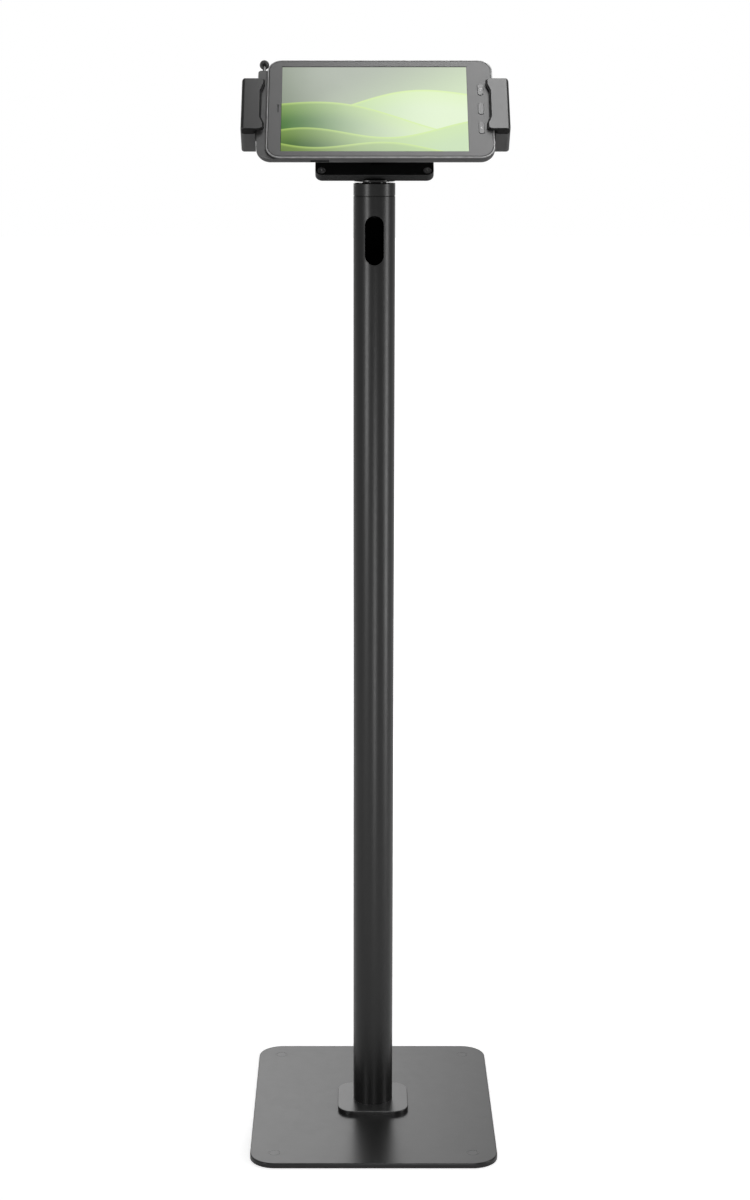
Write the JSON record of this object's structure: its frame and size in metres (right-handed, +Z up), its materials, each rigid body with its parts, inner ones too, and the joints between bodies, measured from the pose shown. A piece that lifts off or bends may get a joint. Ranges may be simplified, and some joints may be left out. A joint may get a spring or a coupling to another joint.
{
  "type": "tablet floor stand",
  "caption": "Tablet floor stand: flat base, round post with cable slots, and a head that swivels, tilts and turns, its sliding jaws gripping a tablet in a rugged case.",
  "frame": {"origin": "centre of the base's footprint, on the floor", "axes": "+Z up along the post; -Y to the front, the side that the screen faces; +X to the right of someone facing the screen"},
  "size_m": [0.2536, 0.288, 1.0575],
  "materials": {
    "base_coat": "satin powder coat, anthracite",
    "post_coat": "satin powder coat, anthracite",
    "head_coat": "dark grey fine textured coat",
    "plate_coat": "black fine textured coat",
    "jaw_coat": "grey fine textured coat",
    "arm_steel": "brushed",
    "screw_steel": "dark plated",
    "bare_aluminium": "turned",
    "black_rubber": "matte",
    "nylon": "smooth",
    "plug_plastic": "matte grey",
    "housing_plastic": "fine textured black",
    "case_plastic": "fine textured dark grey",
    "bezel_plastic": "satin grey",
    "key_plastic": "satin grey",
    "screen_glass": "clear",
    "screen_panel": "lit picture of soft green bands",
    "frame_aluminium": "satin",
    "battery_wrap": "matte film",
    "board_green": "solder mask"
  },
  "bodies": {
    "stand": {"base_plate": "base_coat", "floor_pads": "black_rubber", "anchor_hole_plugs": "plug_plastic", "foot_flange": "base_coat", "flange_screws": "screw_steel", "post_tube": "post_coat", "post_top_plug": "bare_aluminium", "swivel_friction_ring": "nylon"},
    "swivel_head": {"swivel_collar": "post_coat", "tilt_yoke": "head_coat", "swivel_bolt": "screw_steel", "swivel_spring_washer": "screw_steel", "swivel_lock_nut": "screw_steel", "tilt_pin": "screw_steel", "tilt_pin_nut": "screw_steel", "tilt_friction_washers": "nylon"},
    "tilt_head": {"tilt_knuckle": "head_coat", "knuckle_screws": "screw_steel", "mount_front_plate": "plate_coat", "mount_rear_plate": "plate_coat", "mount_corner_screws": "screw_steel", "turn_friction_ring": "nylon"},
    "left_jaw": {"left_jaw_arm": "arm_steel", "left_jaw_body": "jaw_coat", "left_jaw_cover": "jaw_coat", "left_jaw_lip_pad": "black_rubber", "left_jaw_liner": "black_rubber", "left_jaw_screws": "screw_steel"},
    "right_jaw": {"right_jaw_arm": "arm_steel", "right_jaw_body": "jaw_coat", "right_jaw_cover": "jaw_coat", "right_jaw_lip_pad": "black_rubber", "right_jaw_liner": "black_rubber", "right_jaw_screws": "screw_steel"},
    "stylus": {"stylus": "nylon"},
    "back_key": {"back_key": "key_plastic"},
    "home_key": {"home_key": "key_plastic"},
    "menu_key": {"menu_key": "key_plastic"},
    "power_key": {"power_key": "key_plastic"},
    "volume_key": {"volume_key": "key_plastic"},
    "holder": {"turn_axle": "screw_steel", "turn_spring_washer": "screw_steel", "turn_lock_nut": "screw_steel", "turn_stop_pin": "screw_steel", "holder_rear_shell": "housing_plastic", "holder_front_lid": "housing_plastic", "holder_screws": "screw_steel", "jaw_lock_screws": "screw_steel", "holder_back_pad": "black_rubber", "case_shell": "case_plastic", "front_bezel": "bezel_plastic", "speaker_mesh": "screw_steel", "display_glass": "screen_glass", "display_panel": "screen_panel", "tablet_frame": "frame_aluminium", "charging_port": "screw_steel", "battery_pack": "battery_wrap", "main_board": "board_green"}
  },
  "joints": [
    {"name": "head_swivel", "type": "hinge", "parent": "stand", "child": "swivel_head", "pos_m": [0, 0.002, 0.9316], "axis": [0, 0, 1], "range_deg": [-170, 170]},
    {"name": "head_tilt", "type": "hinge", "parent": "swivel_head", "child": "tilt_head", "pos_m": [0, 0.01497, 0.9575], "axis": [-1, 0, 0], "range_deg": [0, 45]},
    {"name": "holder_turn", "type": "hinge", "parent": "tilt_head", "child": "holder", "pos_m": [0, -0.00075, 1.01278], "axis": [0, -0.7071, 0.7071], "range_deg": [-90, 90]},
    {"name": "left_jaw_slide", "type": "slide", "parent": "holder", "child": "left_jaw", "axis": [-1, 0, 0], "range_m": [0, 0.03]},
    {"name": "right_jaw_slide", "type": "slide", "parent": "holder", "child": "right_jaw", "axis": [1, 0, 0], "range_m": [0, 0.03]},
    {"name": "stylus_pull", "type": "slide", "parent": "holder", "child": "stylus", "axis": [0, 0.7071, 0.7071], "range_m": [0, 0.09]},
    {"name": "back_key_press", "type": "slide", "parent": "holder", "child": "back_key", "axis": [0, 0.7071, -0.7071], "range_m": [0, 0.0004], "stiffness_N_per_m": 1500, "springref_m": -0.0002},
    {"name": "home_key_press", "type": "slide", "parent": "holder", "child": "home_key", "axis": [0, 0.7071, -0.7071], "range_m": [0, 0.0004], "stiffness_N_per_m": 1500, "springref_m": -0.0002},
    {"name": "menu_key_press", "type": "slide", "parent": "holder", "child": "menu_key", "axis": [0, 0.7071, -0.7071], "range_m": [0, 0.0004], "stiffness_N_per_m": 1500, "springref_m": -0.0002},
    {"name": "power_key_press", "type": "slide", "parent": "holder", "child": "power_key", "axis": [0, -0.7071, -0.7071], "range_m": [0, 0.0004], "stiffness_N_per_m": 1500, "springref_m": -0.0002},
    {"name": "volume_key_press", "type": "slide", "parent": "holder", "child": "volume_key", "axis": [0, -0.7071, -0.7071], "range_m": [0, 0.0004], "stiffness_N_per_m": 1500, "springref_m": -0.0002}
  ]
}
